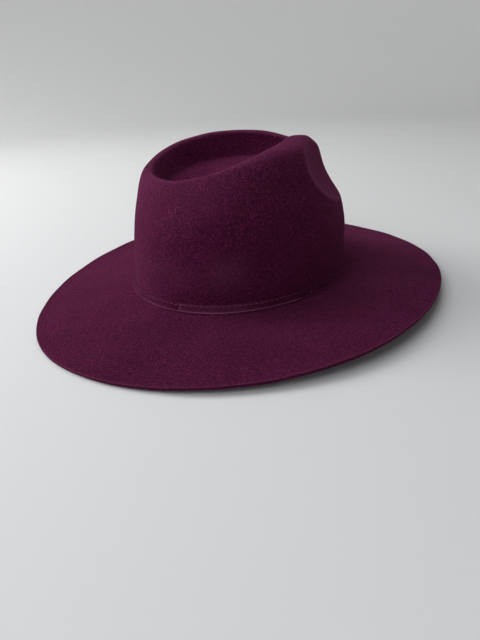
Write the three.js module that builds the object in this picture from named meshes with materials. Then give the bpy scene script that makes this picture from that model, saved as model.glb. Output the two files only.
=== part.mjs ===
// A wide-brim felt hat with a teardrop crown: two pinches at the front, a hollow in the top, and a narrow
// band of the same felt round the foot of the crown. Millimetres, +Z up, the front of the hat towards -Y.
// The hat stands by itself on the front and the back of its brim, with the origin under the middle of it.
import * as THREE from 'three';

// Sizes
const BRIM_FELT = 3.0;             // thickness of the felt in the brim
const CROWN_FELT = 2.6;            // and in the crown, where blocking has stretched it
const REST_TILT = 1.25;            // degrees: the brim is lower behind, so at rest the crown leans forward
const BAND_THICK = 1.0;
const BAND_GAP = 0.35;             // between the band and the crown
const COLUMNS = 64;                // facets round the hat
const BAND_ROWS = 2;               // facets up the band
const STEP = 1e-3;                 // step for slopes, in radians and in parts of the way across

// The upper surface as rings, from the brim's edge up the crown and down to the floor of its hollow.
// front, back, side: how far the ring reaches from the middle. square: 2 is an oval, more is squarer.
// tip: 0 is an oval, more draws the front to a point. zFront, zSide, zBack: heights, counted from a
// millimetre over the crown's foot. wave: a threefold wave of the height. steps: facets to the next ring.
const RING_COLUMNS = [
  'name', 'front', 'back', 'side', 'square', 'tip', 'zFront', 'zSide', 'zBack', 'wave', 'steps',
];
const RINGS = [
  ['brimEdge',   198.4, 189.4, 171.8, 1.88, 0.00,  -7.7,  -4.5, -19.4, -1.6, 3],
  ['brimMiddle', 151.5, 148.0, 130.5, 1.97, 0.00,  -3.5,  -2.6, -10.6, -0.8, 3],
  ['brimInner',  108.5, 108.0,  94.0, 2.06, 0.00,  -1.6,  -1.8,  -3.2,  0.0, 2],
  ['bandBottom', 101.4, 101.2,  86.7, 2.09, 0.00,  -1.0,  -1.0,  -1.0,  0.0, 2],
  ['bandTop',    100.2,  99.6,  85.5, 2.10, 0.00,   5.3,   5.3,   5.3,  0.0, 3],
  ['wallMiddle',  99.5,  94.4,  83.6, 2.10, 0.00,  45.0,  45.0,  45.0,  0.0, 4],
  ['wallHigh',    89.8,  88.6,  81.0, 2.05, 0.09,  77.9,  83.5,  67.0,  1.2, 4],
  ['shoulder',    83.4,  80.0,  69.5, 2.00, 0.07, 101.9, 110.1,  91.9, -0.6, 3],
  ['crest',       61.5,  73.2,  55.5, 2.00, 0.95, 107.1, 113.4,  92.3, -1.0, 2],
  ['hollowLip',   58.0,  69.5,  52.7, 2.00, 0.90, 102.6, 109.2,  88.2, -1.0, 3],
  ['hollowWall',  49.4,  61.4,  45.0, 2.00, 0.90,  95.2,  94.4,  79.4,  0.0, 2],
  ['floorRim',    47.7,  60.2,  43.6, 2.00, 0.85,  94.5,  93.5,  78.8,  0.0, 2],
  ['floor',       25.0,  32.0,  23.0, 2.00, 0.60,  91.5,  91.5,  80.5,  0.0, 1],
].map((row) => Object.fromEntries(RING_COLUMNS.map((key, i) => [key, row[i]])));
const FLOOR_MIDDLE = new THREE.Vector3(0, 4, 89);
const BAND_RING = RINGS.findIndex((ring) => ring.name === 'bandBottom');

// A pinch is the mark of a shallow bowl pressed into the crown, here on the wearer's right, and mirrored
// for the left: a point near its middle, the way it is pressed, the way it runs down, its depth there, the
// radii of its hollow across and down, how softly its edge turns level with its middle, and how far up or
// down from there that softness has doubled.
const PINCH = {
  at: new THREE.Vector3(-56, -54.7, 77.7),
  aim: new THREE.Vector3(0.491, 0.51, -0.707),
  down: new THREE.Vector3(-0.488, -0.306, -0.82),
  depth: 5.2,
  across: 234,
  along: 40.8,
  soft: 1.2,
  fade: 18,
};

// Over each pinch the crest swells up a little: where on the wearer's right, how high, and how wide
const SWELL = { at: new THREE.Vector2(-27.9, -57.1), rise: 2.0, spread: 13.6 };

// Colours
const FELT_LOOK = new THREE.MeshStandardMaterial({ color: 0x4a1430, roughness: 0.95, metalness: 0 });
const BAND_LOOK = new THREE.MeshStandardMaterial({ color: 0x42122b, roughness: 0.9, metalness: 0 });

// Keeps the sign of a sine or cosine and squares up the oval that it draws
function squared(value, square) {
  return Math.sign(value) * Math.abs(value) ** (2 / square);
}

// A point of one ring, at an angle counted from the front towards the wearer's left
function ringPoint(ring, angle) {
  const cos = Math.cos(angle);
  const reach = cos > 0 ? ring.front : ring.back;
  const narrowing = Math.abs(Math.sin(angle / 2)) ** ring.tip;
  const widest = Math.acos(-ring.tip / (2 + ring.tip));
  const fullWidth = Math.sin(widest) * Math.sin(widest / 2) ** ring.tip;
  const mean = (ring.zFront + ring.zBack + 2 * ring.zSide) / 4;
  const lean = (ring.zFront - ring.zBack) / 2;
  const fold = (ring.zFront + ring.zBack - 2 * ring.zSide) / 4;
  return new THREE.Vector3(
    ring.side * squared(Math.sin(angle), ring.square) * narrowing / fullWidth,
    -reach * squared(cos, ring.square),
    mean + lean * cos + fold * Math.cos(2 * angle) + ring.wave * Math.cos(3 * angle),
  );
}

// The larger of a and b, with a soft turn from one to the other
function softMax(a, b, soft) {
  const mix = THREE.MathUtils.clamp(0.5 + (a - b) / (2 * soft), 0, 1);
  return b + (a - b) * mix + soft * mix * (1 - mix);
}

// Presses the pinch of one side into a point: side is -1 for the wearer's right and 1 for the left
function press(point, side) {
  const onSide = (v) => new THREE.Vector3(v.x * -side, v.y, v.z);
  const aim = onSide(PINCH.aim).normalize();
  const down = onSide(PINCH.down);
  down.addScaledVector(aim, -down.dot(aim)).normalize();
  const across = new THREE.Vector3().crossVectors(down, aim);
  const from = point.clone().sub(onSide(PINCH.at));
  const height = from.dot(aim);
  const along = from.dot(down);
  const rise = from.dot(across) ** 2 / (2 * PINCH.across) + along ** 2 / (2 * PINCH.along);
  const soft = PINCH.soft * (1 + (along / PINCH.fade) ** 2);
  return point.addScaledVector(aim, softMax(height, PINCH.depth - rise, soft) - height);
}

// Lifts a point of the crest a little over the pinch of one side
function swell(point, side) {
  const away = Math.hypot(point.x + side * SWELL.at.x, point.y - SWELL.at.y);
  return point.setZ(point.z + SWELL.rise * Math.exp(-(away ** 2) / (2 * SWELL.spread ** 2)));
}

// A point of the hat's upper surface: row counts the rings from the brim's edge, with parts between them
function upperPoint(angle, row) {
  const knots = RINGS.map((ring) => ringPoint(ring, angle));
  const section = new THREE.CatmullRomCurve3([...knots, FLOOR_MIDDLE]);
  const point = section.getPoint(THREE.MathUtils.clamp(row / RINGS.length, 0, 1));
  return [-1, 1].reduce((moved, side) => press(swell(moved, side), side), point);
}

// The surface moved outwards by a distance, or inwards where it is negative
function shiftedPoint(angle, row, distance) {
  const around = upperPoint(angle + STEP, row).sub(upperPoint(angle - STEP, row));
  const across = upperPoint(angle, row + STEP).sub(upperPoint(angle, Math.max(row - STEP, 0)));
  const normal = around.cross(across).normalize();
  return upperPoint(angle, row).addScaledVector(normal, distance);
}

// The felt's thickness at a row: it thins from the brim's edge to the crown's foot
function thickness(row) {
  return THREE.MathUtils.mapLinear(Math.min(row, BAND_RING), 0, BAND_RING, BRIM_FELT, CROWN_FELT);
}

// One loop of points round the hat
function loopAt(row, distance) {
  return Array.from({ length: COLUMNS }, (_, i) => shiftedPoint(2 * Math.PI * i / COLUMNS, row, distance));
}

// Skins a list of loops with triangles: a point closes each end, or the last loop meets the first
function skin(loops, startPoint, endPoint) {
  const points = loops.flat();
  const faces = [];
  const closed = !startPoint;
  for (let k = 0; k < loops.length - (closed ? 0 : 1); k += 1) {
    const here = k * COLUMNS;
    const next = ((k + 1) % loops.length) * COLUMNS;
    for (let i = 0; i < COLUMNS; i += 1) {
      const j = (i + 1) % COLUMNS;
      faces.push(here + i, next + j, here + j, here + i, next + i, next + j);
    }
  }
  if (!closed) {
    const start = points.push(startPoint) - 1;
    const end = points.push(endPoint) - 1;
    const last = (loops.length - 1) * COLUMNS;
    for (let i = 0; i < COLUMNS; i += 1) {
      const j = (i + 1) % COLUMNS;
      faces.push(start, i, j, end, last + j, last + i);
    }
  }
  const geometry = new THREE.BufferGeometry().setFromPoints(points);
  geometry.setIndex(faces);
  geometry.computeVertexNormals();
  return geometry;
}

// Crown and brim: one blocked piece of felt, skinned from the hollow's floor out to the brim and back under
function feltBody() {
  const rows = RINGS.flatMap((ring, k) => Array.from({ length: ring.steps }, (_, i) => k + i / ring.steps));
  const upper = rows.map((row) => loopAt(row, 0)).reverse();
  const under = rows.map((row) => loopAt(row, -thickness(row)));
  const underMiddle = FLOOR_MIDDLE.clone().setZ(FLOOR_MIDDLE.z - CROWN_FELT);
  return skin([...upper, ...under], FLOOR_MIDDLE.clone(), underMiddle);
}

// The band: a strip round the foot of the crown, clear of it by the gap
function hatBand() {
  const rows = Array.from({ length: BAND_ROWS + 1 }, (_, i) => BAND_RING + i / BAND_ROWS);
  const outside = rows.map((row) => loopAt(row, BAND_GAP + BAND_THICK)).reverse();
  const inside = rows.map((row) => loopAt(row, BAND_GAP));
  return skin([...outside, ...inside]);
}

function namedMesh(name, geometry, material) {
  const mesh = new THREE.Mesh(geometry, material);
  mesh.name = name;
  return mesh;
}

// The two pieces, tilted to the way the brim rests and moved so that the hat stands over the origin
const hat = new THREE.Group();
hat.add(namedMesh('felt_body', feltBody(), FELT_LOOK));
hat.add(namedMesh('hat_band', hatBand(), BAND_LOOK));
hat.rotation.x = THREE.MathUtils.degToRad(REST_TILT);
const box = new THREE.Box3().setFromObject(hat, true);
const middle = box.getCenter(new THREE.Vector3());
hat.position.set(-middle.x, -middle.y, -box.min.z);

export default hat;
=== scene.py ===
"""The looks of a burgundy wool felt hat: wide brim, teardrop crown, and a felt band round its foot."""

import math

import bpy
import numpy as np
from mathutils import Matrix, Vector


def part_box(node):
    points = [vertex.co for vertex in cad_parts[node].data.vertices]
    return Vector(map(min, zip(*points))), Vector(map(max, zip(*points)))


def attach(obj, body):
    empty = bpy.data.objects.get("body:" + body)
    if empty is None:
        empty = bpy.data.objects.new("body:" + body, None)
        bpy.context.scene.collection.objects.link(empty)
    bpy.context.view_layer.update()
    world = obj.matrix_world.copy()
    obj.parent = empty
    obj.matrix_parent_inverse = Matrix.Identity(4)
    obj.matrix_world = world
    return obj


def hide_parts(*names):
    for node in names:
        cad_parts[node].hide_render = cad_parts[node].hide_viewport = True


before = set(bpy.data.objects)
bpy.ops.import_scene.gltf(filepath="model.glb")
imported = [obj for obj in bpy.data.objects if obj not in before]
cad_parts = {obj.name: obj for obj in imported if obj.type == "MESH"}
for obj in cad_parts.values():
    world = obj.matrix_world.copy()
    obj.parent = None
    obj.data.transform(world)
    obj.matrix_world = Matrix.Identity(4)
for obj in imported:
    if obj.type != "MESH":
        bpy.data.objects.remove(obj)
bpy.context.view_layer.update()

# Sizes, in millimetres and degrees. The crown's frame has +Z up, the hat's front towards -Y, and its origin
# a millimetre over the middle of the crown's foot.
MM = 0.001
BRIM_FELT = 3.0                  # thickness of the felt in the brim
CROWN_FELT = 2.6                 # and in the crown, where blocking has stretched it
EDGE_ROUND = 0.7                 # radius of the two corners of the brim's cut edge
EDGE_CURL = 0.7                  # how far the brim's rim turns up
EDGE_CURL_REACH = 0.17           # how far in, as part of the way to the brim's middle ring
EDGE_CROWDING = 1.3              # more than 1 crowds the mesh's rows towards the brim's edge
REST_TILT = 1.25                 # how far the crown leans forward when the hat stands on its brim
STEP = 1e-3                      # step for slopes, in radians and in parts of the way across

# The upper surface as rings, from the brim's edge up the crown and down to the floor of its hollow.
# front, back, side: how far the ring reaches from the middle. square: 2 is an oval, more is squarer.
# tip: 0 is an oval, more draws the front to a point. z_front, z_side, z_back: heights, counted from a
# millimetre over the crown's foot. wave: a threefold wave of the height. above, under: rows of the mesh from
# this ring to the next.
RING_COLUMNS = (
    "name", "front", "back", "side", "square", "tip", "z_front", "z_side", "z_back", "wave",
    "above", "under",
)
RINGS = [dict(zip(RING_COLUMNS, row)) for row in (
    ("brim_edge",   198.4, 189.4, 171.8, 1.88, 0.00,  -7.7,  -4.5, -19.4, -1.6, 16, 8),
    ("brim_middle", 151.5, 148.0, 130.5, 1.97, 0.00,  -3.5,  -2.6, -10.6, -0.8, 12, 8),
    ("brim_inner",  108.5, 108.0,  94.0, 2.06, 0.00,  -1.6,  -1.8,  -3.2,  0.0,  8, 6),
    ("band_bottom", 101.4, 101.2,  86.7, 2.09, 0.00,  -1.0,  -1.0,  -1.0,  0.0,  5, 3),
    ("band_top",    100.2,  99.6,  85.5, 2.10, 0.00,   5.3,   5.3,   5.3,  0.0, 14, 5),
    ("wall_middle",  99.5,  94.4,  83.6, 2.10, 0.00,  45.0,  45.0,  45.0,  0.0, 18, 6),
    ("wall_high",    89.8,  88.6,  81.0, 2.05, 0.09,  77.9,  83.5,  67.0,  1.2, 18, 6),
    ("shoulder",     83.4,  80.0,  69.5, 2.00, 0.07, 101.9, 110.1,  91.9, -0.6, 16, 6),
    ("crest",        61.5,  73.2,  55.5, 2.00, 0.95, 107.1, 113.4,  92.3, -1.0, 10, 4),
    ("hollow_lip",   58.0,  69.5,  52.7, 2.00, 0.90, 102.6, 109.2,  88.2, -1.0, 10, 4),
    ("hollow_wall",  49.4,  61.4,  45.0, 2.00, 0.90,  95.2,  94.4,  79.4,  0.0,  6, 3),
    ("floor_rim",    47.7,  60.2,  43.6, 2.00, 0.85,  94.5,  93.5,  78.8,  0.0, 10, 4),
    ("floor",        25.0,  32.0,  23.0, 2.00, 0.60,  91.5,  91.5,  80.5,  0.0,  8, 4),
)]
FLOOR_MIDDLE = np.array((0.0, 4.0, 89.0))
RING_NAMES = [ring["name"] for ring in RINGS]
BAND_RING = RING_NAMES.index("band_bottom")
CREST_RING = RING_NAMES.index("crest")
COLUMNS = 384                    # of the felt's mesh, round the hat
FINE_STEPS = 7200                # round a ring, where its length is measured

# A pinch is the mark of a shallow bowl pressed into the crown, here on the wearer's right, and mirrored for
# the left: a point near its middle, the way it is pressed, the way it runs down, its depth there, the radii
# of its hollow across and down, how softly its edge turns level with its middle, and how far up or down from
# there that softness has doubled.
PINCH_AT = np.array((-56.0, -54.7, 77.7))
PINCH_AIM = np.array((0.491, 0.510, -0.707))
PINCH_DOWN = np.array((-0.488, -0.306, -0.82))
PINCH_DEPTH = 5.2
PINCH_ACROSS = 234.0
PINCH_ALONG = 40.8
PINCH_SOFT = 1.2
PINCH_FADE = 18.0

# Over each pinch the crest swells up a little: where on the wearer's right, how high, and how far it spreads
SWELL_AT = np.array((-27.9, -57.1))
SWELL_RISE = 2.0
SWELL_SPREAD = 13.6

# The blocked felt's slight unevenness, as long waves: their height, how fast they turn along x, y and z in
# radians for each millimetre, and where they start
WAVE_COLUMNS = ("height", "x", "y", "z", "start")
WAVES = [dict(zip(WAVE_COLUMNS, row)) for row in (
    (0.18,  0.071,  0.043,  0.102, 0.4),
    (0.15, -0.052,  0.094,  0.061, 2.1),
    (0.12,  0.131, -0.088,  0.047, 4.0),
    (0.09,  0.034,  0.189, -0.141, 5.2),
)]

# The brim's cut edge turns two corners, one at its top and one at its foot. turn: how far round the corner.
# The second column: how much paler the top one is, a painted highlight where light catches it. cut_top,
# cut_foot: 1 where the corner shows the cut face, which gets painted shade.
CORNER_COLUMNS = ("turn", "rub_and_highlight", "cut_top", "cut_foot")
CORNER = [dict(zip(CORNER_COLUMNS, row)) for row in (
    (0,  0.8, 0, 1),
    (30, 0.8, 0, 1),
    (60, 0.8, 1, 1),
    (90, 0.0, 1, 0),
)]

# Painted highlights, where light catches a turn of the felt: it is made paler along a line at the lip of a
# pinch and at the crest, and as painted sheen at the top of the wall. middle and spread: in millimetres into
# the pinch's bowl for its lip, in rows for the others. The third column: how much paler, from 0 to 1. fade:
# 0 is even all round, more fades it sooner towards the front.
LINE_COLUMNS = ("middle", "spread", "paler", "fade")
PINCH_LIP = dict(zip(LINE_COLUMNS, (0.4, 0.9, 0.75, 0)))
CREST_LINE = dict(zip(LINE_COLUMNS, (CREST_RING + 0.25, 0.4, 0.6, 2)))
WALL_TOP_LINE = dict(zip(LINE_COLUMNS, (CREST_RING - 0.6, 1.0, 0.4, 4)))

# How much paler a pinch is inside, partly rubbed and partly a painted highlight: how much, how deep in the
# bowl it comes to that, and the depths between which it loses a part of that again
BOWL_RUB_AND_HIGHLIGHT = 0.65
BOWL_REACHED = 3.0
BOWL_DEPTHS = (2.7, 11.7)
BOWL_LOSS = 0.45

# Soft patches of the crown's wall where hands have rubbed it. turn: degrees from the back towards the
# wearer's right. row: counts the rings from the brim's edge, with parts between. wide: in degrees. high: in
# rows. The last column: how much paler, from 0 to 1.
PATCH_COLUMNS = ("turn", "row", "wide", "high", "paler")
RUBBED_PATCHES = [dict(zip(PATCH_COLUMNS, row)) for row in (
    (52,  4.66, 12, 0.30, 0.50),
    (22,  4.62, 13, 0.30, 0.25),
    (42,  6.30, 16, 0.60, 0.25),
    (208, 4.90, 15, 0.40, 0.35),
    (300, 6.10, 18, 0.60, 0.30),
)]

# The band, with its ribs, the running stitches along its upper edge, and the lap of its two ends
BAND_THICK = 1.0
RIB_PITCH = 1.6
RIB_COLUMNS = 5                  # of the band's mesh, for each rib
RIB_HEIGHT = 0.08
RIB_VARIES = 0.3                 # how much of that changes along the band
RIB_WAVES = (0.37, 0.11)         # and how fast, in radians for each millimetre
STITCH_PITCH = 4.3
STITCH_THICK = 0.55
STITCH_ROW = 0.9                 # how far up the band the stitches run, from 0 to 1
STITCH_SINK = 0.25               # how far each stitch draws the band in
STITCH_RISE = 0.5                # how far a stitch's middle stands over its ends
STITCH_VARIES = 0.15             # how much of their length changes from one to the next
STITCH_WANDERS = 0.02            # how far they stray up and down, as part of the band's height
STITCH_WAVES = (1.9, 2.4)        # how fast those two change, in radians for each stitch
STITCH_STEPS = 7
DIMPLE_LENGTH = 1.1
LAP_TURN = 28.5                  # place of the cut end that lies on top, counted as a patch's turn
LAP_LIFT = 0.4
LAP_CUT = 0.4                    # run over which the cut end rises
LAP_WIDTH = 6.0
LAP_FADE = 2.0                   # run over which the lap sinks again
LAP_PALE = 0.5                   # how pale the cut end is, and how far that spreads
LAP_PALE_SPREAD = 0.5

# The band's section, from its foot up its face to its top. height: up the band, from 0 to 1. part: how far
# out, as part of its thickness. rib, dimple, edge: its share of the ribs, of the stitches' dimples, and of
# the paler lower edge, which is partly a paler cut edge and partly a painted highlight where light catches
# it.
SECTION_COLUMNS = ("height", "part", "rib", "dimple", "edge")
BAND_SECTION = dict(zip(SECTION_COLUMNS, np.array((
    (0.00,  0.10, 0.0, 0.0, 0.0),
    (-0.15, 0.20, 0.0, 0.0, 0.0),
    (-0.10, 0.75, 0.0, 0.0, 0.3),
    (-0.04, 1.25, 0.1, 0.0, 1.0),
    (0.04,  1.36, 0.2, 0.0, 1.0),
    (0.12,  1.14, 0.5, 0.0, 0.5),
    (0.22,  0.96, 1.0, 0.0, 0.0),
    (0.38,  0.90, 1.0, 0.1, 0.0),
    (0.54,  0.90, 1.0, 0.3, 0.0),
    (0.70,  0.92, 1.0, 0.6, 0.0),
    (0.82,  0.94, 0.8, 0.9, 0.0),
    (0.90,  0.96, 0.5, 1.0, 0.0),
    (0.96,  0.96, 0.3, 0.9, 0.1),
    (1.00,  0.80, 0.1, 0.7, 0.1),
    (1.01,  0.45, 0.0, 0.3, 0.0),
    (0.98,  0.10, 0.0, 0.0, 0.0),
)).T))

# How the band looks along its run. turn: degrees from the back towards the wearer's right. pale: how rubbed
# its face is, edge: how pale its lower edge is, partly a painted highlight, thread: its stitches, each from
# 0 to 1. stitch: how long they are.
BAND_COLUMNS = ("turn", "pale", "edge", "thread", "stitch")
BAND_WEAR = [dict(zip(BAND_COLUMNS, row)) for row in (
    (0,   0.1, 0.1, 0.1, 3.4),
    (8,   0.1, 0.4, 0.4, 3.4),
    (28,  0.0, 0.5, 0.6, 3.4),
    (29,  0.5, 0.6, 0.6, 1.9),
    (44,  0.6, 1.0, 0.6, 1.9),
    (60,  0.6, 0.8, 0.8, 1.9),
    (70,  0.2, 0.8, 1.0, 1.9),
    (76,  0.1, 0.8, 0.3, 1.9),
    (86,  0.2, 1.0, 0.2, 2.4),
    (90,  0.0, 0.2, 0.1, 2.4),
    (360, 0.1, 0.1, 0.1, 3.4),
)]

# Loose fibres that lie on the felt or the band. turn, row: as for the patches. way: degrees from level to
# straight up. length and thick in millimetres.
FIBRE_COLUMNS = ("turn", "row", "way", "length", "thick")
FIBRES = [dict(zip(FIBRE_COLUMNS, row)) for row in (
    (24.9,  6.23,  80, 4.6, 0.35),
    (12.3,  6.60,  78, 3.2, 0.30),
    (94.5,  3.60,  20, 2.0, 0.90),
    (97.2,  3.40, -15, 1.2, 0.50),
    (109.0, 4.10,  10, 1.4, 0.55),
    (116.0, 3.90, -20, 2.2, 0.55),
    (46.0,  2.64,   5, 3.4, 0.45),
    (52.2,  2.75, -30, 1.4, 0.45),
    (150.0, 5.20,  65, 3.6, 0.30),
    (228.0, 1.40,  35, 3.0, 0.30),
    (305.0, 5.60,  70, 4.0, 0.30),
)]
FIBRE_STEPS = 9
FIBRE_BEND = 0.12                # how far its middle bends aside, as part of its length
FIBRE_LIFT = 0.6                 # how far it lies over what carries it, as part of its thickness
FIBRE_CLEAR = 0.1                # and how much more in millimetres
FIBRE_PALE = 0.8
THREAD_SIDES = 6
THREAD_TAPER = 0.9               # 0 leaves a thread even, and 1 draws its ends to a point

# The photo's camera: its frame and focal length in pixels, where the middle of the crown's foot falls in it,
# and the camera's distance and direction from there, counted from the wearer's right towards the back
PHOTO_WIDTH = 480
PHOTO_HEIGHT = 640
FOCAL_PIXELS = 485
FOOT_PIXEL = (241.1, 267.3)
CAMERA_DISTANCE = 461.2
CAMERA_AZIMUTH = 34.26
CAMERA_ELEVATION = 21.57
CAMERA_ROLL = -2.68
SENSOR_MM = 36.0

# The studio, in metres: a round sweep of paper, pale as far up as the photo's frame shows it and dim above,
# and soft lights that all face one point in the crown
FLOOR_REACH = 1.3
FLOOR_RINGS = 4
SWEEP_RADIUS = 0.7
SWEEP_STEP = 9                   # degrees up the curve from ring to ring
SWEEP_TOP = 2.4
SWEEP_DIMS = (0.75, 1.1)         # heights between which the paper turns from pale to dim
SWEEP_COLUMNS = 96
LIT_POINT = Vector((0.0, 0.0, 0.06))
LIGHT_COLUMNS = ("name", "azimuth", "elevation", "distance", "size", "watts", "tint")
LIGHTS = [dict(zip(LIGHT_COLUMNS, row)) for row in (
    ("window", 131, 35, 1.7, 1.0, 19.0, (1.0, 1.0, 1.0)),
    ("over",    56, 65, 1.7, 1.2,  6.5, (1.0, 1.0, 1.0)),
    ("near",   189, 48, 1.7, 1.2,  8.8, (0.96, 1.0, 1.08)),
    ("front",    0, 60, 1.7, 1.2,  0.7, (1.0, 1.0, 1.0)),
)]
WORLD_COLOUR = (0.80, 0.81, 0.83, 1.0)
WORLD_STRENGTH = 0.02


# Rounds and ovals

def wrapped(distance, length):
    """The shorter way round a closed run, with its sign."""
    return (distance + length / 2) % length - length / 2


def full_turn(columns):
    """Angles that share a full turn evenly."""
    return np.linspace(0, 2 * math.pi, columns, endpoint=False)


def squared(value, square):
    """Keeps the sign of a sine or cosine and squares up the oval that it draws."""
    return np.sign(value) * np.abs(value) ** (2 / square)


def ring_points(ring, angles):
    """The points of one ring, at angles counted from the front towards the wearer's left."""
    cos = np.cos(angles)
    reach = np.where(cos > 0, ring["front"], ring["back"])
    narrowing = np.abs(np.sin(angles / 2)) ** ring["tip"]
    widest = math.acos(-ring["tip"] / (2 + ring["tip"]))
    full_width = math.sin(widest) * math.sin(widest / 2) ** ring["tip"]
    mean = (ring["z_front"] + ring["z_back"] + 2 * ring["z_side"]) / 4
    lean = (ring["z_front"] - ring["z_back"]) / 2
    fold = (ring["z_front"] + ring["z_back"] - 2 * ring["z_side"]) / 4
    return np.stack([
        ring["side"] * squared(np.sin(angles), ring["square"]) * narrowing / full_width,
        -reach * squared(cos, ring["square"]),
        mean + lean * cos + fold * np.cos(2 * angles) + ring["wave"] * np.cos(3 * angles),
    ], axis=-1)


def even_angles(ring, count):
    """Angles that share the length of a ring evenly, and that length."""
    fine = np.linspace(0, 2 * math.pi, FINE_STEPS + 1)
    points = ring_points(ring, fine)
    run = np.concatenate([[0], np.cumsum(np.linalg.norm(np.diff(points, axis=0), axis=-1))])
    return np.interp(np.arange(count) * run[-1] / count, run, fine), run[-1]


# Shape of the felt

def spline_points(knots, rows):
    """Points at fractional rows on centripetal Catmull-Rom curves through the knots: each column of them has
    a curve of its own."""
    ends = (2 * knots[:1] - knots[1:2], knots, 2 * knots[-1:] - knots[-2:-1])
    padded = np.concatenate(ends)
    spans = np.sqrt(np.linalg.norm(np.diff(padded, axis=0), axis=-1))[..., None]
    first = np.clip(np.floor(rows).astype(int), 0, len(knots) - 2)
    part = (rows - first)[:, None, None]
    p0, p1, p2, p3 = (padded[first + k] for k in range(4))
    d0, d1, d2 = (spans[first + k] for k in range(3))
    slope1 = ((p1 - p0) / d0 - (p2 - p0) / (d0 + d1) + (p2 - p1) / d1) * d1
    slope2 = ((p2 - p1) / d1 - (p3 - p1) / (d1 + d2) + (p3 - p2) / d2) * d1
    square, cube = part ** 2, part ** 3
    return (
        (2 * cube - 3 * square + 1) * p1 + (cube - 2 * square + part) * slope1
        + (3 * square - 2 * cube) * p2 + (cube - square) * slope2
    )


def soft_max(a, b, soft):
    """The larger of a and b, with a soft turn from one to the other."""
    mix = np.clip(0.5 + (a - b) / (2 * soft), 0, 1)
    return b + (a - b) * mix + soft * mix * (1 - mix)


def bowl_over(points, side):
    """The bowl that presses the pinch of one side: how far it reaches past each point, its aim, and its
    softness there."""
    mirror = np.array((-side, 1, 1))
    aim = PINCH_AIM * mirror / np.linalg.norm(PINCH_AIM)
    down = PINCH_DOWN * mirror
    down = down - aim * (down @ aim)
    down = down / np.linalg.norm(down)
    across = np.cross(down, aim)
    out = points - PINCH_AT * mirror
    along = out @ down
    rise = (out @ across) ** 2 / (2 * PINCH_ACROSS) + along ** 2 / (2 * PINCH_ALONG)
    return PINCH_DEPTH - rise - out @ aim, aim, PINCH_SOFT * (1 + (along / PINCH_FADE) ** 2)


def press(points, side):
    """Presses the pinch of one side into the points: side is -1 for the wearer's right and 1 for the
    left."""
    over, aim, soft = bowl_over(points, side)
    return points + soft_max(over, 0, soft)[..., None] * aim


def swell(points, side):
    """Lifts the crest a little over the pinch of one side."""
    away = points[..., :2] - SWELL_AT * np.array((-side, 1))
    lift = SWELL_RISE * np.exp(-(away ** 2).sum(axis=-1) / (2 * SWELL_SPREAD ** 2))
    return points + lift[..., None] * np.array((0, 0, 1))


def blocked_points(rows, angles):
    """The upper surface before it is pinched: rows count the rings from the brim's edge, with parts
    between."""
    knots = [ring_points(ring, angles) for ring in RINGS]
    knots.append(np.broadcast_to(FLOOR_MIDDLE, knots[0].shape))
    points = spline_points(np.array(knots), np.clip(rows, 0, len(RINGS)))
    return swell(swell(points, -1), 1)


def upper_points(rows, angles):
    """The felt's upper surface."""
    return press(press(blocked_points(rows, angles), -1), 1)


def surface(rows, angles):
    """Points and outward normals of the upper surface, for every row at every angle."""
    rows = np.asarray(rows, float)
    angles = np.asarray(angles, float)
    points = upper_points(rows, angles)
    around = upper_points(rows, angles + STEP) - upper_points(rows, angles - STEP)
    across = upper_points(rows + STEP, angles) - upper_points(rows - STEP, angles)
    normals = np.cross(around, across)
    normals /= np.linalg.norm(normals, axis=-1, keepdims=True)
    return points, normals


def unevenness(points):
    """How far the blocked felt stands proud of its plain shape, in millimetres."""
    return sum(
        wave["height"] * np.sin(points @ np.array((wave["x"], wave["y"], wave["z"])) + wave["start"])
        for wave in WAVES
    )


def thickness(rows):
    """The felt's thickness: it thins from the brim's edge to the crown's foot."""
    return np.interp(rows, (0, BAND_RING), (BRIM_FELT, CROWN_FELT))


def curl(rows):
    """How far the felt is turned up near the brim's edge."""
    return EDGE_CURL * np.clip(1 - rows / EDGE_CURL_REACH, 0, 1) ** 2


# Wear of the felt, and painted highlights

def painted_highlight_line(line, places, angles):
    """A painted highlight: how much paler the felt is along one line, at places counted as its middle is."""
    near = np.exp(-((places - line["middle"]) / line["spread"]) ** 2)
    return line["paler"] * near * np.sin(angles / 2) ** line["fade"]


def rubbed_patches(rows, angles):
    """How rubbed the crown's wall is in its soft patches."""
    paler = np.zeros((len(rows), len(angles)))
    for patch in RUBBED_PATCHES:
        away = np.degrees(angles) - 180 - patch["turn"]
        across = wrapped(away, 360) / patch["wide"]
        upwards = (rows[:, None] - patch["row"]) / patch["high"]
        paler += patch["paler"] * np.exp(-across ** 2 - upwards ** 2)
    return paler


def wear_and_highlight(rows, angles):
    """How much paler the felt is, from 0 to 1: painted highlights most along the lip of a pinch and on the
    crest, rubbing and partly a painted highlight inside a pinch, a little painted sheen at the top of the
    wall, and rubbed soft patches."""
    blocked = blocked_points(rows, angles)
    over = np.maximum(bowl_over(blocked, -1)[0], bowl_over(blocked, 1)[0])
    lip = painted_highlight_line(PINCH_LIP, over, angles)
    reached = np.interp(over, (0, BOWL_REACHED), (0, BOWL_RUB_AND_HIGHLIGHT))
    bowl = reached * np.interp(over, BOWL_DEPTHS, (1, 1 - BOWL_LOSS))
    crest = painted_highlight_line(CREST_LINE, rows[:, None], angles)
    wall_top = painted_highlight_line(WALL_TOP_LINE, rows[:, None], angles)
    return np.clip(lip + bowl + crest + wall_top + rubbed_patches(rows, angles), 0, 1)


# Meshes

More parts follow.
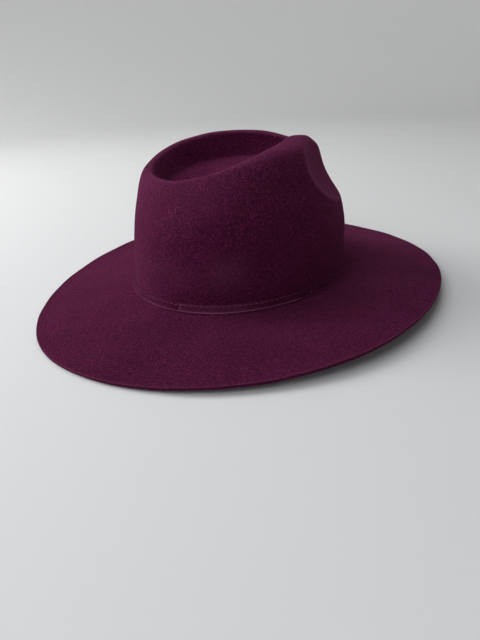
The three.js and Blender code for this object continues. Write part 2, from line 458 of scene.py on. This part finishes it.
def loops_mesh(name, loops, start=None, end=None, marks=None):
    """A mesh skinned over loops of points. A point may close each end, and where there is none at all the
    last loop meets the first. Marks are named numbers for its points, which its finish reads."""
    loops = np.asarray(loops)
    count, columns = loops.shape[:2]
    joined = start is None and end is None
    here = np.arange(count if joined else count - 1)[:, None] * columns
    there = (here + columns) % (count * columns)
    i = np.arange(columns)
    j = (i + 1) % columns
    vertices = loops.reshape(-1, 3).tolist()
    faces = np.stack([here + i, there + i, there + j, here + j], axis=-1).reshape(-1, 4).tolist()
    if start is not None:
        faces += [(len(vertices), a, b) for a, b in zip(i.tolist(), j.tolist())]
        vertices.append(tuple(start))
    if end is not None:
        last = (count - 1) * columns
        faces += [(len(vertices), last + b, last + a) for a, b in zip(i.tolist(), j.tolist())]
        vertices.append(tuple(end))
    mesh = bpy.data.meshes.new(name)
    mesh.from_pydata(vertices, [], faces)
    mesh.shade_smooth()
    for mark, values in (marks or {}).items():
        flat = np.zeros(len(vertices))
        flat[:count * columns] = np.broadcast_to(values, (count, columns)).ravel()
        mesh.attributes.new(mark, "FLOAT", "POINT").data.foreach_set("value", flat)
    return mesh


def rows_between(column):
    """Rows of the mesh from the brim's edge to the middle of the hollow's floor, as one column of the rings'
    table spaces them."""
    parts = [np.arange(ring[column]) / ring[column] for ring in RINGS]
    parts[0] = parts[0] ** EDGE_CROWDING
    return np.concatenate([k + part for k, part in enumerate(parts)])


def felt_side(column, depth):
    """One side of the felt, depth below the upper one: its rows, points and normals."""
    rows = rows_between(column)
    points, normals = surface(rows, full_turn(COLUMNS))
    lift = unevenness(points) + (curl(rows) - depth * thickness(rows))[:, None]
    return rows, points + lift[..., None] * normals, normals


def felt_mesh():
    """Crown and brim: the upper side, the rounded cut edge, and the under side, as one closed skin."""
    rows, upper, normals = felt_side("above", 0)
    _, under, _ = felt_side("under", 1)
    edge, normal = upper[0], normals[0]
    inward = upper[1] - upper[0]
    inward /= np.linalg.norm(inward, axis=-1, keepdims=True)
    foot = edge - (BRIM_FELT - EDGE_ROUND) * normal
    turns = np.radians([step["turn"] for step in CORNER])
    top_corner = [
        edge + EDGE_ROUND * (inward * (1 - math.sin(turn)) + normal * (math.cos(turn) - 1))
        for turn in turns
    ]
    foot_corner = [
        foot + EDGE_ROUND * (inward * (1 - math.cos(turn)) - normal * math.sin(turn))
        for turn in turns
    ]
    loops = [*upper[:0:-1], *top_corner, *foot_corner, *under[1:]]
    first = len(rows) - 1
    middle = first + len(CORNER)
    # paler marks: rubbing, and painted highlights along lines and on the brim's upper corner
    rub_and_highlight = np.zeros((len(loops), COLUMNS))
    rub_and_highlight[:first] = wear_and_highlight(rows, full_turn(COLUMNS))[:0:-1]
    rub_and_highlight[first:middle] = [[step["rub_and_highlight"]] for step in CORNER]
    # the brim's cut face, which the finish darkens as painted shade
    cut = np.zeros((len(loops), 1))
    cut[first:middle] = [[step["cut_top"]] for step in CORNER]
    cut[middle:middle + len(CORNER)] = [[step["cut_foot"]] for step in CORNER]
    floor_under = FLOOR_MIDDLE - np.array((0, 0, CROWN_FELT))
    return loops_mesh("felt_body_fine", loops, FLOOR_MIDDLE, floor_under, {"rub_and_highlight": rub_and_highlight, "cut": cut})


def band_points(heights, offsets, angles):
    """Points over the crown's foot: heights go up the band from 0 to 1, offsets stand out from the felt."""
    points, normals = surface(BAND_RING + np.asarray(heights, float), angles)
    lift = unevenness(points) + offsets
    return points + lift[..., None] * normals


def band_wear(column, angles):
    """One column of the band's wear, at angles counted from the front towards the wearer's left."""
    turns = np.degrees(np.asarray(angles) - math.pi) % 360
    return np.interp(turns, [row["turn"] for row in BAND_WEAR], [row[column] for row in BAND_WEAR])


def band_mesh():
    """The strip of felt: cut edges, fine ribs, a dimple at every stitch, and the lap of its two ends."""
    ring = RINGS[BAND_RING + 1]
    length = even_angles(ring, 1)[1]
    columns = round(length / RIB_PITCH) * RIB_COLUMNS
    angles, length = even_angles(ring, columns)
    along = np.arange(columns) * length / columns
    part = BAND_SECTION["part"][:, None]
    outside = part > 0.5
    drift = np.sin(along * RIB_WAVES[0]) * np.sin(along * RIB_WAVES[1] + 1)
    rib = np.cos(2 * math.pi * along / RIB_PITCH) * (1 - RIB_VARIES + RIB_VARIES * drift)
    from_stitch = wrapped(along, length / round(length / STITCH_PITCH))
    dimple = np.exp(-(from_stitch / DIMPLE_LENGTH) ** 2)
    from_lap = wrapped(along - np.interp(math.pi + math.radians(LAP_TURN), angles, along), length)
    lap_start = np.clip(from_lap / LAP_CUT + 0.5, 0, 1)
    lap_end = np.clip((LAP_WIDTH - from_lap) / LAP_FADE, 0, 1)
    offsets = (
        part * BAND_THICK
        + BAND_SECTION["rib"][:, None] * RIB_HEIGHT * rib
        - BAND_SECTION["dimple"][:, None] * STITCH_SINK * dimple
        + outside * LAP_LIFT * lap_start * lap_end
    )
    # the lower edge is paler, partly a paler cut edge and partly a painted highlight
    lower_edge = BAND_SECTION["edge"][:, None] * band_wear("edge", angles)
    lap_edge = LAP_PALE * np.exp(-(from_lap / LAP_PALE_SPREAD) ** 2)
    marks = {
        "pale": band_wear("pale", angles),
        "edge": np.maximum(lower_edge, lap_edge * outside),
    }
    return loops_mesh("hat_band_fine", band_points(BAND_SECTION["height"], offsets, angles), marks=marks)


def tube_faces(base, rings, sides):
    """The faces of a closed tube whose rings of points start at a vertex."""
    faces = []
    for i in range(rings - 1):
        for j in range(sides):
            a = base + i * sides
            b = (j + 1) % sides
            faces.append((a + j, a + b, a + sides + b, a + sides + j))
    last = base + (rings - 1) * sides
    faces.append(tuple(range(base + sides - 1, base - 1, -1)))
    faces.append(tuple(range(last, last + sides)))
    return faces


def threads_mesh(name, threads):
    """A mesh of short closed tubes. Each thread is its middle points, its outward and upward ways, its radii
    and how pale it is."""
    turns = full_turn(THREAD_SIDES)
    vertices, faces, pale = [], [], []
    for middle, out, up, radii, paleness in threads:
        up = up / np.linalg.norm(up, axis=-1, keepdims=True)
        rounds = [middle + radii[:, None] * (math.cos(turn) * up + math.sin(turn) * out) for turn in turns]
        faces += tube_faces(len(vertices), len(middle), THREAD_SIDES)
        vertices += np.stack(rounds, axis=1).reshape(-1, 3).tolist()
        pale += [paleness] * (len(middle) * THREAD_SIDES)
    mesh = bpy.data.meshes.new(name)
    mesh.from_pydata(vertices, [], faces)
    mesh.shade_smooth()
    mesh.attributes.new("thread", "FLOAT", "POINT").data.foreach_set("value", pale)
    return mesh


def thread_radii(thick, steps):
    """The radii of a thread that thins towards its ends, at steps along it from -0.5 to 0.5."""
    return thick / 2 * np.sqrt(1 - (2 * steps * THREAD_TAPER) ** 4)


def stitch_threads():
    """Running stitches: short threads that come up through the band, lie on it, and go down again."""
    ring = RINGS[BAND_RING + 1]
    fine_angles, length = even_angles(ring, FINE_STEPS)
    runs = np.arange(FINE_STEPS) * length / FINE_STEPS
    count = round(length / STITCH_PITCH)
    steps = np.linspace(-0.5, 0.5, STITCH_STEPS)
    rise = BAND_THICK - STITCH_SINK + STITCH_RISE * (0.5 - (2 * steps) ** 4)
    for k in range(count):
        run = k * length / count
        centre = float(np.interp(run, runs, fine_angles))
        stitch = float(band_wear("stitch", centre)) * (1 + STITCH_VARIES * math.sin(k * STITCH_WAVES[0]))
        angles = np.interp((run + steps * stitch) % length, runs, fine_angles)
        row = STITCH_ROW + STITCH_WANDERS * math.sin(k * STITCH_WAVES[1])
        middle, above = band_points([row, row + 0.1], rise, angles)
        out = band_points([row], rise + 1, angles)[0] - middle
        paleness = float(band_wear("thread", centre))
        yield middle, out, above - middle, thread_radii(STITCH_THICK, steps), paleness


def fibre_threads():
    """Loose fibres, each a slightly bent thread that lies on the felt or on the band."""
    steps = np.linspace(-0.5, 0.5, FIBRE_STEPS)
    for fibre in FIBRES:
        angle = math.pi + math.radians(fibre["turn"])
        points, normals = surface([fibre["row"], fibre["row"] + STEP], [angle, angle + STEP])
        here, out = points[0, 0], normals[0, 0]
        level = points[0, 1] - here
        level /= np.linalg.norm(level)
        rise = np.cross(out, level)
        rise *= math.copysign(1, rise @ (points[1, 0] - here))
        way = math.radians(fibre["way"])
        along = level * math.cos(way) + rise * math.sin(way)
        aside = np.cross(out, along)
        bend = FIBRE_BEND * fibre["length"] * (1 - (2 * steps) ** 2)
        on_band = BAND_RING < fibre["row"] < BAND_RING + 1
        lift = fibre["thick"] * FIBRE_LIFT + FIBRE_CLEAR + (BAND_THICK if on_band else 0)
        middle = here + (steps * fibre["length"])[:, None] * along + bend[:, None] * aside + lift * out
        ways = np.broadcast_to(aside, middle.shape)
        yield middle, out, ways, thread_radii(fibre["thick"], steps), FIBRE_PALE


def backdrop_mesh():
    """A round sweep: a level floor that curves up all round, so that every view has the same ground."""
    levels = [(FLOOR_REACH * k / FLOOR_RINGS, 0.0) for k in range(1, FLOOR_RINGS + 1)]
    levels += [
        (FLOOR_REACH + SWEEP_RADIUS * math.sin(turn), SWEEP_RADIUS * (1 - math.cos(turn)))
        for turn in np.radians(np.arange(SWEEP_STEP, 90 + SWEEP_STEP, SWEEP_STEP))
    ]
    levels.append((FLOOR_REACH + SWEEP_RADIUS, SWEEP_TOP))
    turns = full_turn(SWEEP_COLUMNS)
    loops = [
        [(reach * math.cos(turn), reach * math.sin(turn), height) for turn in turns]
        for reach, height in reversed(levels)
    ]
    return loops_mesh("backdrop", loops, end=(0.0, 0.0, 0.0))


def place_on_floor(mesh, low, high):
    """The move from the crown's frame to the floor: tilted, with the felt's box on the CAD felt's box."""
    tilt = Matrix.Rotation(math.radians(REST_TILT), 4, "X") @ Matrix.Scale(MM, 4)
    points = np.empty(len(mesh.vertices) * 3)
    mesh.vertices.foreach_get("co", points)
    turned = points.reshape(-1, 3) @ np.array(tilt.to_3x3()).T
    lowest, highest = turned.min(axis=0), turned.max(axis=0)
    middle = (np.array(low) + np.array(high) - lowest - highest) / 2
    return Matrix.Translation((middle[0], middle[1], low[2] - lowest[2])) @ tilt


# Materials

class Value:
    """A number that changes over a surface. Sums on it add Math nodes to its finish."""

    def __init__(self, finish, socket):
        self.finish = finish
        self.socket = socket

    def math(self, operation, *numbers):
        return self.finish.node("ShaderNodeMath", {"operation": operation}, dict(enumerate(numbers)))

    def __add__(self, other):
        return self.math("ADD", self, other)

    def __radd__(self, other):
        return self.math("ADD", other, self)

    def __sub__(self, other):
        return self.math("SUBTRACT", self, other)

    def __rsub__(self, other):
        return self.math("SUBTRACT", other, self)

    def __mul__(self, other):
        return self.math("MULTIPLY", self, other)

    def __rmul__(self, other):
        return self.math("MULTIPLY", other, self)

    def smooth(self, low, high):
        """0 below low, 1 above high, and a smooth turn between them."""
        settings = {"interpolation_type": "SMOOTHSTEP"}
        return self.finish.node("ShaderNodeMapRange", settings, {0: self, 1: low, 2: high})


class Finish:
    """A material, built up from nodes."""

    def __init__(self, name):
        self.material = bpy.data.materials.new(name)
        self.material.use_nodes = True
        self.tree = self.material.node_tree
        self.shader = self.tree.nodes["Principled BSDF"]

    def set(self, socket, value):
        """Gives a socket a number or a colour, or links a value to it."""
        if isinstance(value, Value):
            self.tree.links.new(value.socket, socket)
        else:
            socket.default_value = value

    def node(self, kind, settings=None, inputs=None, output=0):
        """Adds a node, sets its settings and then its sockets, and gives back one of its outputs."""
        node = self.tree.nodes.new(kind)
        for key, value in (settings or {}).items():
            setattr(node, key, value)
        for key, value in (inputs or {}).items():
            self.set(node.inputs[key], value)
        return Value(self, node.outputs[output])

    def mix(self, factor, a, b):
        """From colour a to colour b."""
        return self.node("ShaderNodeMix", {"data_type": "RGBA"}, {0: factor, 6: a, 7: b}, output=2)

    def place(self):
        """Where a point is in the object's own coordinates."""
        return self.node("ShaderNodeTexCoord", output="Object")

    def noise(self, scale, detail, roughness=0.5):
        """Smooth noise from 0 to 1, scale in waves per metre."""
        inputs = {"Scale": scale, "Detail": detail, "Roughness": roughness, "Vector": self.place()}
        return self.node("ShaderNodeTexNoise", None, inputs)

    def attribute(self, name):
        """A mark of the mesh."""
        return self.node("ShaderNodeAttribute", {"attribute_name": name}, output="Fac")

    def shade(self, **sockets):
        """Sets the shader's sockets, named in words joined by underscores."""
        for key, value in sockets.items():
            self.set(self.shader.inputs[key.replace("_", " ")], value)
        return self.material


def colour(red, green, blue):
    """A colour of the photo's kind, 0 to 255, as the linear one that nodes take."""
    parts = (red / 255, green / 255, blue / 255)
    return (*(c / 12.92 if c <= 0.04045 else ((c + 0.055) / 1.055) ** 2.4 for c in parts), 1.0)


FELT_DEEP = colour(54, 12, 37)
FELT_PALE = colour(101, 33, 70)
FELT_RED = colour(90, 22, 54)
FELT_FLECK = colour(124, 58, 94)
# paler felt, for rubbing and for painted highlights
FELT_PALER = colour(126, 62, 94)
FELT_BLOOM = colour(198, 100, 152)
THREAD_PALE = colour(146, 88, 118)
PAPER_PALE = colour(234, 234, 233)
PAPER_DIM = colour(72, 72, 73)

# Strengths, from 0 to 1
MOTTLE_SHARE = 0.16              # of the felt's height, where the grain has the rest
CLOUD_REDDENS = 0.5
CLOUD_DARKENS = 0.3
FLECK_SHOWS = 0.5
# how far paler marks show: rubbing, and painted highlights
PALER_MARKS_SHOW = 0.4
# painted shade on the brim's cut face
CUT_FACE_PAINTED_SHADE = 0.6
# the band's paler lower edge, partly a painted highlight
BAND_EDGE_SHOWS = 0.75
TWIST_DARKENS = 0.4


def wool(finish):
    """Matted wool: soft specks, pale fibre ends and a cloudy dyeing. Gives its colour and its height."""
    cloud = finish.noise(scale=22, detail=3, roughness=0.6).smooth(low=0.32, high=0.68)
    mottle = finish.noise(scale=240, detail=2, roughness=0.6).smooth(low=0.26, high=0.74)
    grain = finish.noise(scale=680, detail=2, roughness=0.7).smooth(low=0.28, high=0.72)
    fleck = finish.noise(scale=900, detail=1).smooth(low=0.6, high=0.8)
    height = mottle * MOTTLE_SHARE + grain * (1 - MOTTLE_SHARE)
    lightness = height * height * (1 + CLOUD_DARKENS / 2 - cloud * CLOUD_DARKENS)
    pale = finish.mix(cloud * CLOUD_REDDENS, FELT_PALE, FELT_RED)
    ground = finish.mix(lightness, FELT_DEEP, pale)
    return finish.mix(fleck * FLECK_SHOWS, ground, FELT_FLECK), height


def shade_wool(finish, dyed, height, strength):
    """Felt's surface: rough, with a soft bloom at glancing angles."""
    bump = finish.node("ShaderNodeBump", None, {"Strength": strength, "Distance": 0.0005, "Height": height})
    return finish.shade(
        Base_Color=dyed,
        Roughness=0.95,
        Normal=bump,
        Specular_IOR_Level=0.02,
        Sheen_Weight=0.3,
        Sheen_Roughness=0.5,
        Sheen_Tint=FELT_BLOOM,
    )


def felt_finish():
    """The hat's felt: paler where it is rubbed and where highlights are painted along its lines and on the
    brim's upper corner, and darker on the brim's cut face as painted shade.
    """
    finish = Finish("burgundy_felt")
    dyed, height = wool(finish)
    # paler where rubbed, and painted highlights on the crest, the pinches, the wall's top and the brim's
    # upper corner
    paler = finish.mix(finish.attribute("rub_and_highlight") * PALER_MARKS_SHOW, dyed, FELT_PALER)
    # painted shade: darker on the brim's cut face
    edged = finish.mix(finish.attribute("cut") * CUT_FACE_PAINTED_SHADE, paler, FELT_DEEP)
    return shade_wool(finish, edged, height, strength=0.7)


def band_finish():
    """The band's felt: the same wool, rubbed along part of its run, and paler on its lower edge, partly a
    paler cut edge and partly a painted highlight.
    """
    finish = Finish("burgundy_band_felt")
    dyed, height = wool(finish)
    paler = finish.mix(finish.attribute("pale") * PALER_MARKS_SHOW, dyed, FELT_PALER)
    # paler lower edge: partly a paler cut edge, partly a painted highlight
    edged = finish.mix(finish.attribute("edge") * BAND_EDGE_SHOWS, paler, THREAD_PALE)
    return shade_wool(finish, edged, height, strength=0.5)


def thread_finish():
    """Twisted thread, of the felt's colour where it is not rubbed."""
    finish = Finish("burgundy_thread")
    twist = finish.noise(scale=3000, detail=1).smooth(low=0.4, high=0.6)
    paler = finish.mix(finish.attribute("thread"), FELT_PALE, THREAD_PALE)
    return finish.shade(
        Base_Color=finish.mix(twist * TWIST_DARKENS, paler, FELT_DEEP),
        Roughness=0.8,
        Specular_IOR_Level=0.1,
    )


def paper_finish():
    """Pale paper, dimmed above the height that the photo's frame shows, so that it lends the hat little
    light."""
    finish = Finish("pale_backdrop")
    height = finish.node("ShaderNodeSeparateXYZ", None, {"Vector": finish.place()}, output=2)
    paper = finish.mix(height.smooth(*SWEEP_DIMS), PAPER_PALE, PAPER_DIM)
    return finish.shade(Base_Color=paper, Roughness=0.9)


# Pieces, lights and camera

def put_in_scene(name, data):
    """A new object of the scene, made from its data."""
    thing = bpy.data.objects.new(name, data)
    bpy.context.scene.collection.objects.link(thing)
    return thing


def add_piece(mesh, to_floor, material, slot, *nodes):
    """A piece of the hat: it rides on the hat's one body and stands for the nodes named."""
    mesh.transform(to_floor)
    mesh.materials.append(material)
    piece = put_in_scene(mesh.name, mesh)
    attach(piece, "root")
    if nodes:
        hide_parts(*nodes)


def add_backdrop():
    mesh = backdrop_mesh()
    mesh.materials.append(paper_finish())
    put_in_scene(mesh.name, mesh)


def add_light(name, azimuth, elevation, distance, size, watts, tint):
    """A square soft light that faces the hat. Azimuth 0 is in front of it and 90 at the wearer's left."""
    around, above = math.radians(azimuth), math.radians(elevation)
    way = Vector((
        math.sin(around) * math.cos(above),
        -math.cos(around) * math.cos(above),
        math.sin(above),
    ))
    data = bpy.data.lights.new(name, "AREA")
    data.shape = "SQUARE"
    data.size = size
    data.energy = watts
    data.color = tint
    lamp = put_in_scene(name, data)
    lamp.location = LIT_POINT + way * distance
    lamp.rotation_euler = (-way).to_track_quat("-Z", "Y").to_euler()


def add_world():
    world = bpy.data.worlds.new("room")
    world.use_nodes = True
    background = world.node_tree.nodes["Background"]
    background.inputs["Color"].default_value = WORLD_COLOUR
    background.inputs["Strength"].default_value = WORLD_STRENGTH
    bpy.context.scene.world = world


def add_camera(to_floor):
    """The photo's camera, from its direction to the crown's foot, moved with the hat onto the floor."""
    azimuth, elevation, roll = (math.radians(a) for a in (CAMERA_AZIMUTH, CAMERA_ELEVATION, CAMERA_ROLL))
    place = Vector((
        -math.cos(azimuth) * math.cos(elevation),
        math.sin(azimuth) * math.cos(elevation),
        math.sin(elevation),
    ))
    forward = -place
    right = forward.cross(Vector((0, 0, 1))).normalized()
    up = right.cross(forward)
    turned_right = right * math.cos(roll) + up * math.sin(roll)
    turned_up = up * math.cos(roll) - right * math.sin(roll)
    looking = Matrix((turned_right, turned_up, forward))
    foot_ray = Vector((FOOT_PIXEL[0] - PHOTO_WIDTH / 2, PHOTO_HEIGHT / 2 - FOOT_PIXEL[1], FOCAL_PIXELS))
    to_foot = Vector((0, 0, 1)).rotation_difference(foot_ray).to_matrix()
    rows = to_foot @ looking
    turn = Matrix((rows[0], rows[1], -rows[2])).transposed()
    data = bpy.data.cameras.new("camera")
    data.sensor_fit = "VERTICAL"
    data.sensor_height = SENSOR_MM
    data.lens = SENSOR_MM * FOCAL_PIXELS / PHOTO_HEIGHT
    camera = put_in_scene("camera", data)
    tilt = to_floor.to_3x3().normalized()
    camera.matrix_world = Matrix.Translation(to_floor @ (place * CAMERA_DISTANCE)) @ (tilt @ turn).to_4x4()
    bpy.context.scene.camera = camera


felt = felt_mesh()
to_floor = place_on_floor(felt, *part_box("felt_body"))
add_camera(to_floor)
add_piece(felt, to_floor, felt_finish(), "felt", "felt_body")
add_piece(band_mesh(), to_floor, band_finish(), "band_felt", "hat_band")
add_piece(threads_mesh("band_stitches", stitch_threads()), to_floor, thread_finish(), "band_felt")
add_piece(threads_mesh("loose_fibres", fibre_threads()), to_floor, thread_finish(), "felt")
add_backdrop()
for row in LIGHTS:
    add_light(**row)
add_world()
bpy.context.scene.view_settings.view_transform = "Standard"
